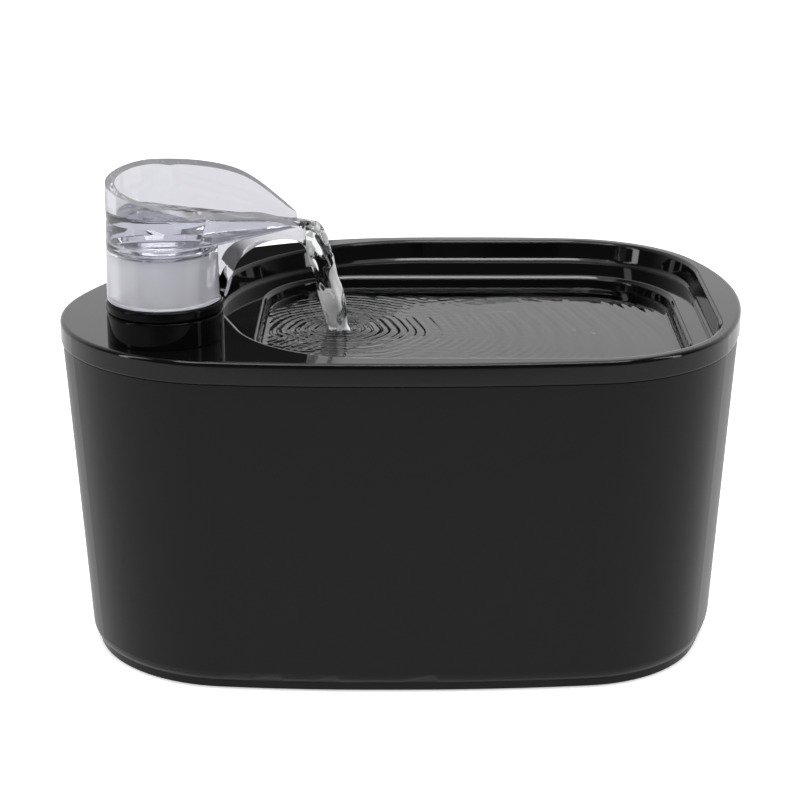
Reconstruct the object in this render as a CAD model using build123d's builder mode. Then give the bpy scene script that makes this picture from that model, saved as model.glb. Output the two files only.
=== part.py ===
from build123d import *
import os
from math import cos, radians, sin, sqrt, tan

os.makedirs("parts", exist_ok=True)

# Pet water fountain. Millimetres, +Z up, origin on the floor under the middle of the plan.
# X runs along the long side with the spout at -X, and -Y is the side that faces the user.

# ---------------------------------------------------------------- overall plan and heights
WIDTH = 260.0               # long side over the tray's skirt
DEPTH = 186.0               # short side over the tray's skirt
DECK_Z = 130.0              # flat deck of the tray above the floor
SKIRT_H = 8.3               # height of the tray's vertical skirt
FRONT_FLAT = 13.75          # straight middle of the front side, between its two bows
BOW_TURN = 6.0              # degrees turned by each slightly bowed long side, at each end
RIGHT_RADII = (677.0, 60.0, 57.0, 392.0)    # front bow, front corner, back corner, back bow
RIGHT_TURN = (61.0, 46.0, 61.0)             # degrees: front corner, end, back corner
LEFT_RADII = (528.0, 67.0, 134.0, 273.0)
LEFT_TURN = (56.0, 45.0, 67.0)

# ---------------------------------------------------------------- clearances
SEAT_GAP = 0.3              # between a lift-off piece and its seat
SLIDE_GAP = 0.3             # radial, round pieces that slide or turn loosely
RUN_GAP = 0.06              # radial, running fits
SEAL_GAP = 0.08             # radial, a seal that wipes its bore

# ---------------------------------------------------------------- tank
FOOT_GAP = 2.0              # shadow gap under the tank
TANK_WALL = 2.6
TANK_FLOOR = 3.0
TANK_DRAFT = 3.4            # degrees
TANK_INSET = 0.6            # tank's top edge behind the skirt
TANK_EDGE_R = 6.0           # rounded lower edge
FOOT_R = 8.0
FOOT_H = 3.2
FOOT_X = WIDTH / 2 - 58.0
FOOT_Y = DEPTH / 2 - 53.0
PLINTH_INSET = 9.8          # rim under the tank, behind the plan
PLINTH_WALL = 5.0
PLINTH_GAP = 0.5            # rim's lower edge above the floor

# ---------------------------------------------------------------- tray
TRAY_WALL = 2.0
TRAY_TOP_R = 1.4            # rounding of the deck's outer edge
SKIRT_BEVEL = 0.4           # bevel of the skirt's lower edge
LIP_WALL = 1.8              # locating lip that drops inside the tank
LIP_DROP = 9.0              # how far the lip reaches below the tank's top edge

BASIN_LEFT = -WIDTH / 2 + 66.0      # basin opening, at the deck
BASIN_LEFT_BACK = BASIN_LEFT - 10.0     # the back left corner reaches further out, behind the collar
BASIN_RIGHT = WIDTH / 2 - 12.0
BASIN_FRONT = -DEPTH / 2 + 9.0
BASIN_BACK = DEPTH / 2 - 7.0
BASIN_RADII = (53.0, 51.0, 52.0, 82.0)      # front left, front right, back right, back left
BASIN_DRAFT = 12.0          # degrees
BEVEL_ANGLE = 45.0          # degrees
RIM_BEVEL = 0.8             # bevel of the basin's upper edge
LEDGE_DROP = 8.3            # deck down to the ledge
LEDGE_BEVEL = 1.1           # bevel where the basin's wall meets the ledge
POOL_LEFT = BASIN_LEFT + 9.0        # pool opening, in the ledge
POOL_RIGHT = BASIN_RIGHT - 11.5
POOL_FRONT = BASIN_FRONT + 10.0
POOL_BACK = BASIN_BACK - 28.0
POOL_RADII = (45.0, 38.0, 36.0, 36.0)
POOL_DEPTH = 17.7           # ledge down to the pool's floor
POOL_DRAFT = 9.0            # degrees
POOL_BEVEL = 1.2            # bevel where the ledge turns down into the pool

# ---------------------------------------------------------------- filter well and cartridge
FILTER_X = POOL_RIGHT - 50.5
FILTER_Y = (POOL_FRONT + POOL_BACK) / 2
WELL_L = 60.0               # along X
WELL_W = 84.0               # along Y
WELL_R = 14.0
WELL_DEPTH = 18.0
WELL_WALL = 2.0
CARTRIDGE_WALL = 1.6
CARTRIDGE_LID_H = 2.6
FELT_H = 4.0
SLOT_W = 3.0
SLOT_PITCH = 7.5
SLOT_COUNT = 6
SLOT_MARGIN = 9.0           # solid border beyond the slots' ends

# ---------------------------------------------------------------- collar
COLLAR_X = -WIDTH / 2 + 43.0
COLLAR_Y = -DEPTH / 2 + 37.0
COLLAR_R = 21.2
COLLAR_BASE_H = 10.0
COLLAR_RING_H = 3.7
COLLAR_BEVEL = 0.5
SHANK_R = 12.0
SHANK_L = 13.0              # below the deck's upper face
PIVOT_R = 9.6               # the ring's boss, turning in the base
SNAP_H = 1.6                # bead under the shank that keeps the boss in
SNAP_OUT = 0.9
SNAP_SLOT_W = 2.0
SNAP_SLOT_L = 9.0
LUG_R = 1.5                 # stop lug under the ring, in an arc groove of the base
LUG_H = 2.0
LUG_ORBIT_R = 15.5
SWIVEL = (-40.0, 20.0)      # degrees each way from rest
GASKET_W = 5.0
GASKET_H = 1.0
NUT_R = 17.0
NUT_H = 6.0
NUT_LOBES = 8
NUT_LOBE_R = 2.6

# ---------------------------------------------------------------- riser and spigot
RISER_R = 6.0
RISER_BORE_R = 3.8
RISER_SOCKET_R = 7.6        # the ring's bore round the riser
RISER_SEAT = 3.0            # how far the riser's end stays below the ring's top
SEAL_H = 1.6                # height of the seals
SEAL_GROOVE = 0.9           # how deep a seal sits in its tube
SPIGOT_R = 5.7
SPIGOT_BORE_R = 3.4
SPIGOT_H = 11.0             # above the ring
SEAL_DROP = 3.0             # seals below the ends of the tubes that carry them

# ---------------------------------------------------------------- spout cup
BEAK_ANGLE = 30.0           # degrees from +X towards +Y, at rest
CUP_R = 20.8
CUP_DRAFT = 1.3             # degrees, narrower at the top
CUP_WALL = 4.4
CUP_SKIN = 3.0              # web under the bowl
TIP_REACH = 57.7            # from the cup's axis to the beak's tip
TIP_R = 6.0
TIP_WALL = 2.8
BOWL_FLOOR = 18.4           # above the cup's lower edge
BOWL_FLOOR_R = 13.5
BOWL_SHOULDER = 29.0        # height at which the bowl is as wide as the mouth
SOCKET_WALL = 1.5
SOCKET_DEPTH = 12.0
CHANNEL_FLOOR = 20.6        # floor of the beak's channel above the cup's lower edge
CUP_EDGE_R = 0.8            # rounding of the cup's lower edges
CUP_TOP = 52.0              # blank height, before the rim is cut
# The beak's underside as (reach, height), from the cup's foot to the lip.
UNDERSIDE = ((16.5, 2.0), (18.5, 5.0), (21.5, 12.0), (30.0, 17.2), (42.0, 18.0), (51.0, 16.0), (59.0, 10.4))
# The rim's height as (reach, far side, near side), the sides being RIM_SPAN off the beak's line.
RIM_SPAN = 20.0
RIM_CURVE = (
    (-26.0, 45.2, 38.2),
    (-15.0, 45.5, 37.0),
    (0.0, 46.5, 33.4),
    (15.0, 47.7, 27.8),
    (30.0, 48.1, 21.0),
    (40.0, 47.0, 16.4),
    (50.0, 42.6, 12.8),
    (60.0, 29.0, 13.2),
)

# ---------------------------------------------------------------- pump
SUCTION_H = 5.0
SUCTION_R = 6.0
SUCTION_X = 10.0            # half spacing
SUCTION_Y = (7.0, 37.0)     # behind the outlet's axis
SUCTION_RIM = 0.8
SUCTION_NECK_R = 2.0
SUCTION_NECK_H = 2.0
PUMP_W = 34.0
PUMP_H = 36.0
PUMP_EDGE_R = 3.0
MOTOR_BACK = 44.0           # from the outlet's axis to the back of the motor block
CHAMBER_R = 12.0
CHAMBER_HALF = 6.0          # half depth of the impeller chamber
OUTLET_OFFSET = 7.8         # outlet's axis to the rotor's axis, along X
OUTLET_R = 4.2
OUTLET_H = 9.0
OUTLET_GAP = 0.5            # between the outlet's end and the riser's
COUPLING_WALL = 2.0
COUPLING_L = 16.0
COVER_T = 2.4
COVER_INLET_R = 9.0
SPIDER_W = 2.0
SPIDER_ARMS = 3
HUB_WALL = 1.4
MAGNET_R = 6.6
MAGNET_L = 25.0
MAGNET_GAP = 0.6            # radial, magnet in its well
SHAFT_R = 1.25
SHAFT_BLIND = 1.0           # closed ends of the bushes
BUSH_R = 2.6
BUSH_L = 4.0
WHEEL_R = 10.4
WHEEL_H = 7.0
WHEEL_PLATE = 1.4
WHEEL_HUB_R = 3.2
WHEEL_GAP = 0.6             # between the wheel and the front bush
BLADE_T = 1.2
BLADES = 6
CAP_R = 14.0
CAP_H = 6.6
CAP_WALL = 1.4
CAP_SLOTS = 5
CAP_SLOT_W = 2.2
CAP_SLOT_PITCH = 4.2
CAP_SLOT_L = 12.0
SLIDER_W = 12.0
SLIDER_T = 1.2
SLIDER_H = 9.0
SLIDER_TRAVEL = 7.0
RAIL = 1.4                  # width and thickness of the slider's rails
RAIL_H = 18.0
GLAND_R = 4.5
GLAND_L = 8.0
GLAND_STEP = 1.0            # shoulder of the gland against the pump
GLAND_STEP_L = 3.0
GLAND_Z = 27.0              # above the pump's lower face
CABLE_R = 2.6               # bore that the cable would fill

# ---------------------------------------------------------------- cable outlet in the tank
GROMMET_X = -WIDTH / 2 + 114.0
GROMMET_W = 11.0
GROMMET_H = 10.0
GROMMET_FLANGE = 1.6
GROMMET_BORE_R = 3.2

# ---------------------------------------------------------------- sizes worked out from those above
SEAM_Z = DECK_Z - SKIRT_H
TANK_TOP = SEAM_Z - SEAT_GAP
TANK_H = TANK_TOP - FOOT_GAP
FLOOR_Z = FOOT_GAP + TANK_FLOOR
LEDGE_Z = DECK_Z - LEDGE_DROP
POOL_Z = LEDGE_Z - POOL_DEPTH
WELL_Z = POOL_Z - WELL_DEPTH
DECK_UNDER = DECK_Z - TRAY_WALL
SHANK_Z = DECK_Z - SHANK_L
RING_Z = DECK_Z + COLLAR_BASE_H + SEAT_GAP
RING_TOP = RING_Z + COLLAR_RING_H
CUP_Z = RING_TOP + SEAT_GAP
SOCKET_R = SPIGOT_R + SLIDE_GAP
PUMP_Z = FLOOR_Z + SUCTION_H
PUMP_TOP = PUMP_Z + PUMP_H
ROTOR_X = COLLAR_X + OUTLET_OFFSET
ROTOR_Z = PUMP_Z + PUMP_H / 2
CHAMBER_FRONT = COLLAR_Y - CHAMBER_HALF
CHAMBER_BACK = COLLAR_Y + CHAMBER_HALF
MOTOR_END = COLLAR_Y + MOTOR_BACK
COVER_FRONT = CHAMBER_FRONT - COVER_T
CAP_FRONT = COVER_FRONT - CAP_H
WHEEL_FRONT = COVER_FRONT + BUSH_L + WHEEL_GAP
WHEEL_BACK = WHEEL_FRONT + WHEEL_H
MAGNET_END = WHEEL_BACK + MAGNET_L
MAGNET_WELL_END = MAGNET_END + MAGNET_GAP
RISER_Z = PUMP_TOP + OUTLET_H + OUTLET_GAP
RISER_TOP = RING_TOP - RISER_SEAT
RISER_SEAL_Z = RISER_TOP - SEAL_DROP
SPIGOT_SEAL_Z = RING_TOP + SPIGOT_H - SEAL_DROP


def arc_drop(radius, start, end):
    """Rise of an arc whose outward normal turns from start to end degrees."""
    return radius * (sin(radians(end)) - sin(radians(start)))


def arc_run(radius, start, end):
    """Sideways run of the same arc."""
    return radius * (cos(radians(end)) - cos(radians(start)))


def side_arcs(radii, turns, inset, bow_scale):
    """Five (radius, start, end) arcs up one side; the end's radius closes the depth."""
    front_bow = bow_scale * radii[0] - inset
    front_corner = radii[1] - inset
    back_corner = radii[2] - inset
    back_bow = bow_scale * radii[3] - inset
    front_end = -90 + BOW_TURN + turns[0]
    back_start = front_end + turns[1]
    arcs = [
        (front_bow, -90, -90 + BOW_TURN),
        (front_corner, -90 + BOW_TURN, front_end),
        (back_corner, back_start, 90 - BOW_TURN),
        (back_bow, 90 - BOW_TURN, 90),
    ]
    rise = sum(arc_drop(*arc) for arc in arcs)
    end_radius = (DEPTH - 2 * inset - rise) / arc_drop(1, front_end, back_start)
    arcs.insert(2, (end_radius, front_end, back_start))
    return arcs


def front_reach(arcs):
    """Run of one side's arcs from the front's middle to the end's outermost point."""
    return sum(arc_run(radius, start, min(end, 0)) for radius, start, end in arcs if start < 0)


def front_run(bow_scale):
    """Run of the front's bows and corners on both sides, for bows scaled by bow_scale."""
    right = side_arcs(RIGHT_RADII, RIGHT_TURN, 0, bow_scale)
    left = side_arcs(LEFT_RADII, LEFT_TURN, 0, bow_scale)
    return front_reach(right) + front_reach(left)


# the bows take up what the width leaves, so that the straight middle keeps its length
BOW_SCALE = (WIDTH - FRONT_FLAT - front_run(0)) / (front_run(1) - front_run(0))


def outline(level, inset):
    """The plan outline at a height: bowed sides, four corners and two rounded ends."""
    right = side_arcs(RIGHT_RADII, RIGHT_TURN, inset, BOW_SCALE)
    left = side_arcs(LEFT_RADII, LEFT_TURN, inset, BOW_SCALE)
    right_reach = front_reach(right)
    left_reach = front_reach(left)
    front = -DEPTH / 2 + inset
    front_right = WIDTH / 2 - inset - right_reach
    front_left = -WIDTH / 2 + inset + left_reach
    back_left = front_left - sum(arc_run(*arc) for arc in left)
    with BuildSketch() as sketch:
        with BuildLine():
            edge = Line((front_left, front), (front_right, front))
            for radius, start, end in right:
                edge = JernArc(edge @ 1, edge % 1, radius, end - start)
            edge = Line(edge @ 1, (back_left, DEPTH / 2 - inset))
            for radius, start, end in reversed(left):
                edge = JernArc(edge @ 1, edge % 1, radius, end - start)
        make_face()
    return Pos(0, 0, level) * sketch.sketch


def four_corner(level, box, radii, grow):
    """A rounded rectangle with its own radius at each corner, grown outwards by grow."""
    low_x, low_x_back, high_x, low_y, high_y = box
    front_left, front_right, back_right, back_left = radii
    centres = (
        (low_x + front_left, low_y + front_left, front_left),
        (high_x - front_right, low_y + front_right, front_right),
        (high_x - back_right, high_y - back_right, back_right),
        (low_x_back + back_left, high_y - back_left, back_left),
    )
    with BuildSketch() as sketch:
        for centre_x, centre_y, radius in centres:
            with Locations((centre_x, centre_y)):
                Circle(radius + grow)
        make_hull()
    return Pos(0, 0, level) * sketch.sketch


def tapered_hollow(level, box, radii, grow, depth, draft, mode):
    """Adds or cuts a four-cornered prism that narrows downwards by its draft."""
    top = four_corner(level, box, radii, grow)
    bottom = four_corner(level - depth, box, radii, grow - depth * tan(radians(draft)))
    loft([top, bottom], ruled=True, mode=mode)


def tank_inset(level):
    """How far the tapered tank's outer face lies inside the plan at a height."""
    return TANK_INSET + (TANK_TOP - level) * tan(radians(TANK_DRAFT))


def rounded_box(level, length, width, radius):
    """A rounded rectangle round the filter's centre at a height."""
    with BuildSketch() as sketch:
        with Locations((FILTER_X, FILTER_Y)):
            RectangleRounded(length, width, radius)
    return Pos(0, 0, level) * sketch.sketch


def slot_row(level):
    """The row of drain slots that the filter's floor, lid and well share."""
    with BuildSketch() as sketch:
        with Locations((FILTER_X, FILTER_Y)):
            with GridLocations(SLOT_PITCH, SLOT_PITCH, SLOT_COUNT, 1):
                SlotOverall(WELL_W - 2 * SLOT_MARGIN, SLOT_W, rotation=90)
    return Pos(0, 0, level) * sketch.sketch


def collar_plane(level):
    return Plane((COLLAR_X, COLLAR_Y, level))


def rotor_plane(y):
    """Upright plane across the rotor's axis, facing the front."""
    return Plane((ROTOR_X, y, ROTOR_Z), x_dir=(1, 0, 0), z_dir=(0, -1, 0))


def pump_outline():
    """The pump's front view, round the rotor's axis."""
    RectangleRounded(PUMP_W, PUMP_H, PUMP_EDGE_R)


BASIN = (BASIN_LEFT, BASIN_LEFT_BACK, BASIN_RIGHT, BASIN_FRONT, BASIN_BACK)
POOL = (POOL_LEFT, POOL_LEFT, POOL_RIGHT, POOL_FRONT, POOL_BACK)
LIP_INSET = tank_inset(TANK_TOP - LIP_DROP) + TANK_WALL + SEAT_GAP

# ---------------------------------------------------------------- tank: tapered open shell
with BuildPart() as tank:
    extrude(outline(FOOT_GAP, tank_inset(FOOT_GAP)), TANK_H, taper=-TANK_DRAFT)
    fillet(tank.faces().sort_by(Axis.Z)[0].edges(), TANK_EDGE_R)
    extrude(
        outline(FLOOR_Z, tank_inset(FLOOR_Z) + TANK_WALL),
        TANK_TOP - FLOOR_Z,
        taper=-TANK_DRAFT,
        mode=Mode.SUBTRACT,
    )
    # rim that stands just clear of the floor
    extrude(
        outline(PLINTH_GAP, PLINTH_INSET) - outline(PLINTH_GAP, PLINTH_INSET + PLINTH_WALL),
        PLINTH_GAP + TANK_FLOOR,
    )
    # pockets that hold the rubber feet
    with BuildSketch(Plane.XY.offset(FOOT_GAP)):
        with GridLocations(2 * FOOT_X, 2 * FOOT_Y, 2, 2):
            Circle(FOOT_R)
    extrude(amount=FOOT_H - FOOT_GAP, mode=Mode.SUBTRACT)
    # notch for the cable grommet in the back edge
    with BuildSketch(Plane.XY.offset(TANK_TOP)):
        with Locations((GROMMET_X, DEPTH / 2)):
            Rectangle(GROMMET_W, 6 * TANK_WALL)
    extrude(amount=-GROMMET_H, mode=Mode.SUBTRACT)
tank.part.label = "tank"
export_step(tank.part, "parts/tank.step")

# ---------------------------------------------------------------- rubber feet, pressed into the pockets
with BuildPart() as rubber_feet:
    with BuildSketch(Plane.XY):
        with GridLocations(2 * FOOT_X, 2 * FOOT_Y, 2, 2):
            Circle(FOOT_R - RUN_GAP)
    extrude(amount=FOOT_H)
    chamfer(rubber_feet.edges().group_by(Axis.Z)[0], FOOT_H / 6)
rubber_feet.part.label = "rubber_feet"
export_step(rubber_feet.part, "parts/rubber_feet.step")

# ---------------------------------------------------------------- tray: skirted deck with a stepped basin
with BuildPart() as tray:
    extrude(outline(SEAM_Z, 0), SKIRT_H)
    fillet(tray.faces().sort_by(Axis.Z)[-1].edges(), TRAY_TOP_R)
    chamfer(tray.faces().sort_by(Axis.Z)[0].edges(), SKIRT_BEVEL)
    extrude(outline(SEAM_Z, TANK_INSET + TANK_WALL), SKIRT_H - TRAY_WALL, mode=Mode.SUBTRACT)
    # locating lip inside the tank
    lip_z = TANK_TOP - LIP_DROP
    lip_h = DECK_UNDER - lip_z
    lip = extrude(outline(lip_z, LIP_INSET), lip_h, mode=Mode.PRIVATE)
    lip -= extrude(outline(lip_z, LIP_INSET + LIP_WALL), lip_h, mode=Mode.PRIVATE)
    add(lip)
    with BuildSketch(Plane.XY.offset(lip_z)):
        with Locations((GROMMET_X, DEPTH / 2 - LIP_INSET)):
            Rectangle(GROMMET_W + 4 * GROMMET_FLANGE, 6 * LIP_WALL)
    extrude(amount=lip_h, mode=Mode.SUBTRACT)
    # outer skin of the basin, the pool and the filter well
    tapered_hollow(DECK_Z, BASIN, BASIN_RADII, TRAY_WALL, LEDGE_DROP + TRAY_WALL, BASIN_DRAFT, Mode.ADD)
    tapered_hollow(LEDGE_Z, POOL, POOL_RADII, TRAY_WALL, POOL_DEPTH + TRAY_WALL, POOL_DRAFT, Mode.ADD)
    extrude(rounded_box(POOL_Z, WELL_L + 2 * WELL_WALL, WELL_W + 2 * WELL_WALL, WELL_R + WELL_WALL),
            -WELL_DEPTH - WELL_WALL)
    # hollows
    wall_drop = LEDGE_DROP - LEDGE_BEVEL
    wall_run = wall_drop * tan(radians(BASIN_DRAFT))
    tapered_hollow(DECK_Z, BASIN, BASIN_RADII, 0, wall_drop, BASIN_DRAFT, Mode.SUBTRACT)
    tapered_hollow(DECK_Z - wall_drop, BASIN, BASIN_RADII, -wall_run, LEDGE_BEVEL, BEVEL_ANGLE, Mode.SUBTRACT)
    tapered_hollow(LEDGE_Z, POOL, POOL_RADII, 0, POOL_DEPTH, POOL_DRAFT, Mode.SUBTRACT)
    tapered_hollow(DECK_Z, BASIN, BASIN_RADII, RIM_BEVEL, RIM_BEVEL, BEVEL_ANGLE, Mode.SUBTRACT)
    tapered_hollow(LEDGE_Z, POOL, POOL_RADII, POOL_BEVEL, POOL_BEVEL, BEVEL_ANGLE, Mode.SUBTRACT)
    extrude(rounded_box(POOL_Z, WELL_L, WELL_W, WELL_R), -WELL_DEPTH, mode=Mode.SUBTRACT)
    extrude(slot_row(WELL_Z), -WELL_WALL, mode=Mode.SUBTRACT)
    # hole for the collar's shank
    with BuildSketch(collar_plane(DECK_UNDER)):
        Circle(SHANK_R + SLIDE_GAP)
    extrude(amount=TRAY_WALL, mode=Mode.SUBTRACT)
tray.part.label = "tray"
export_step(tray.part, "parts/tray.step")

# ---------------------------------------------------------------- cable grommet, filling the tank's notch
with BuildPart() as cable_grommet:
    flange_z = TANK_TOP - GROMMET_H - GROMMET_FLANGE
    flange_h = GROMMET_H + GROMMET_FLANGE
    outer_face = tank_inset(flange_z) - GROMMET_FLANGE
    inner_face = tank_inset(flange_z) + TANK_WALL + GROMMET_FLANGE
    with BuildSketch(Plane.XY.offset(flange_z)):
        with Locations((GROMMET_X, DEPTH / 2)):
            Rectangle(GROMMET_W + 2 * GROMMET_FLANGE, 2 * inner_face + 4 * TANK_WALL)
    extrude(amount=flange_h)
    extrude(outline(flange_z, outer_face), flange_h, taper=-TANK_DRAFT, mode=Mode.INTERSECT)
    extrude(outline(flange_z, inner_face), flange_h, taper=-TANK_DRAFT, mode=Mode.SUBTRACT)
    add(tank.part, mode=Mode.SUBTRACT)
    with BuildSketch(Plane.XZ.offset(-DEPTH / 2)):
        with Locations((GROMMET_X, TANK_TOP - GROMMET_H / 2)):
            Circle(GROMMET_BORE_R)
    extrude(amount=inner_face * 2, both=True, mode=Mode.SUBTRACT)
cable_grommet.part.label = "cable_grommet"
export_step(cable_grommet.part, "parts/cable_grommet.step")

# ---------------------------------------------------------------- collar: base clamped through the deck
with BuildPart() as collar_base:
    with BuildSketch(collar_plane(DECK_Z)):
        Circle(COLLAR_R)
    extrude(amount=COLLAR_BASE_H)
    chamfer(collar_base.edges().group_by(Axis.Z)[-1], COLLAR_BEVEL)
    with BuildSketch(collar_plane(SHANK_Z)):
        Circle(SHANK_R)
    extrude(amount=SHANK_L)
    with BuildSketch(collar_plane(SHANK_Z)):
        Circle(PIVOT_R + SLIDE_GAP)
    extrude(amount=SHANK_L + COLLAR_BASE_H, mode=Mode.SUBTRACT)
    # arc groove that stops the ring's lug at both ends of its swing
    groove_start = BEAK_ANGLE + 180 + SWIVEL[0]
    groove_sweep = SWIVEL[1] - SWIVEL[0]
    groove_r = LUG_R + SLIDE_GAP
    with BuildSketch(Plane(
        (COLLAR_X, COLLAR_Y, DECK_Z + COLLAR_BASE_H),
        x_dir=(cos(radians(groove_start)), sin(radians(groove_start)), 0),
        z_dir=(sin(radians(groove_start)), -cos(radians(groove_start)), 0),
    )):
        with Locations((LUG_ORBIT_R, 0)):
            Rectangle(2 * groove_r, 2 * LUG_H)
    revolve(axis=Axis((COLLAR_X, COLLAR_Y, 0), (0, 0, 1)), revolution_arc=groove_sweep, mode=Mode.SUBTRACT)
    with BuildSketch(collar_plane(DECK_Z + COLLAR_BASE_H)):
        for angle in (groove_start, groove_start + groove_sweep):
            with PolarLocations(LUG_ORBIT_R, 1, start_angle=angle):
                Circle(groove_r)
    extrude(amount=-LUG_H, mode=Mode.SUBTRACT)
collar_base.part.label = "collar_base"
export_step(collar_base.part, "parts/collar_base.step")

with BuildPart() as collar_gasket:
    with BuildSketch(collar_plane(DECK_UNDER)):
        Circle(SHANK_R + SLIDE_GAP + GASKET_W)
        Circle(SHANK_R + SLIDE_GAP, mode=Mode.SUBTRACT)
    extrude(amount=-GASKET_H)
collar_gasket.part.label = "collar_gasket"
export_step(collar_gasket.part, "parts/collar_gasket.step")

with BuildPart() as collar_nut:
    with BuildSketch(collar_plane(DECK_UNDER - GASKET_H)):
        Circle(NUT_R)
        with PolarLocations(NUT_R, NUT_LOBES):
            Circle(NUT_LOBE_R)
        Circle(SHANK_R + RUN_GAP, mode=Mode.SUBTRACT)
    extrude(amount=-NUT_H)
    chamfer(collar_nut.faces().sort_by(Axis.Z)[0].outer_wire().edges(), COLLAR_BEVEL)
collar_nut.part.label = "collar_nut"
export_step(collar_nut.part, "parts/collar_nut.step")

# turning ring: spigot above, snap-in boss below
with BuildPart() as collar_ring:
    boss_z = SHANK_Z - SLIDE_GAP - SNAP_H
    with BuildSketch(collar_plane(RING_Z)):
        Circle(COLLAR_R)
    extrude(amount=COLLAR_RING_H)
    chamfer(collar_ring.edges().group_by(Axis.Z)[0], COLLAR_BEVEL)
    chamfer(collar_ring.edges().group_by(Axis.Z)[-1], COLLAR_BEVEL)
    with BuildSketch(collar_plane(boss_z)):
        Circle(PIVOT_R)
    extrude(amount=RING_TOP - boss_z)
    with BuildSketch(collar_plane(boss_z)):
        Circle(PIVOT_R + SNAP_OUT)
    extrude(amount=SNAP_H)
    chamfer(collar_ring.edges().group_by(Axis.Z)[0], SNAP_OUT)
    with BuildSketch(collar_plane(RING_TOP)):
        Circle(SPIGOT_R)
    extrude(amount=SPIGOT_H)
    chamfer(collar_ring.edges().group_by(Axis.Z)[-1], COLLAR_BEVEL)
    with BuildSketch(collar_plane(boss_z)):
        Circle(RISER_SOCKET_R)
    extrude(amount=RISER_TOP + SLIDE_GAP - boss_z, mode=Mode.SUBTRACT)
    with BuildSketch(collar_plane(RISER_TOP)):
        Circle(SPIGOT_BORE_R)
    extrude(amount=RISER_SEAT + SPIGOT_H, mode=Mode.SUBTRACT)
    with BuildSketch(collar_plane(boss_z)):
        Rectangle(2 * COLLAR_R, SNAP_SLOT_W)
        Rectangle(SNAP_SLOT_W, 2 * COLLAR_R)
    extrude(amount=SNAP_SLOT_L, mode=Mode.SUBTRACT)
    with BuildSketch(collar_plane(RING_Z)):
        with PolarLocations(LUG_ORBIT_R, 1, start_angle=BEAK_ANGLE + 180):
            Circle(LUG_R)
    extrude(amount=-LUG_H)
    # groove for the spigot's seal
    with BuildSketch(collar_plane(SPIGOT_SEAL_Z)):
        Circle(SPIGOT_R)
        Circle(SPIGOT_R - SEAL_GROOVE, mode=Mode.SUBTRACT)
    extrude(amount=SEAL_H + 2 * RUN_GAP, mode=Mode.SUBTRACT)
collar_ring.part.label = "collar_ring"
export_step(collar_ring.part, "parts/collar_ring.step")

with BuildPart() as spigot_seal:
    with BuildSketch(collar_plane(SPIGOT_SEAL_Z + RUN_GAP)):
        Circle(SOCKET_R - SEAL_GAP)
        Circle(SPIGOT_R - SEAL_GROOVE + RUN_GAP, mode=Mode.SUBTRACT)
    extrude(amount=SEAL_H)
spigot_seal.part.label = "spigot_seal"
export_step(spigot_seal.part, "parts/spigot_seal.step")

# ---------------------------------------------------------------- riser from the pump into the ring
with BuildPart() as riser_tube:
    with BuildSketch(collar_plane(RISER_Z)):
        Circle(RISER_R)
        Circle(RISER_BORE_R, mode=Mode.SUBTRACT)
    extrude(amount=RISER_TOP - RISER_Z)
    with BuildSketch(collar_plane(RISER_SEAL_Z)):
        Circle(RISER_R)
        Circle(RISER_R - SEAL_GROOVE, mode=Mode.SUBTRACT)
    extrude(amount=SEAL_H + 2 * RUN_GAP, mode=Mode.SUBTRACT)
riser_tube.part.label = "riser_tube"
export_step(riser_tube.part, "parts/riser_tube.step")

with BuildPart() as riser_seal:
    with BuildSketch(collar_plane(RISER_SEAL_Z + RUN_GAP)):
        Circle(RISER_SOCKET_R - SEAL_GAP)
        Circle(RISER_R - SEAL_GROOVE + RUN_GAP, mode=Mode.SUBTRACT)
    extrude(amount=SEAL_H)
riser_seal.part.label = "riser_seal"
export_step(riser_seal.part, "parts/riser_seal.step")

with BuildPart() as riser_coupling:
    with BuildSketch(collar_plane(RISER_Z - COUPLING_L / 2)):
        Circle(RISER_R + RUN_GAP + COUPLING_WALL)
        Circle(RISER_R + RUN_GAP, mode=Mode.SUBTRACT)
    extrude(amount=COUPLING_L)
riser_coupling.part.label = "riser_coupling"
export_step(riser_coupling.part, "parts/riser_coupling.step")

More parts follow.
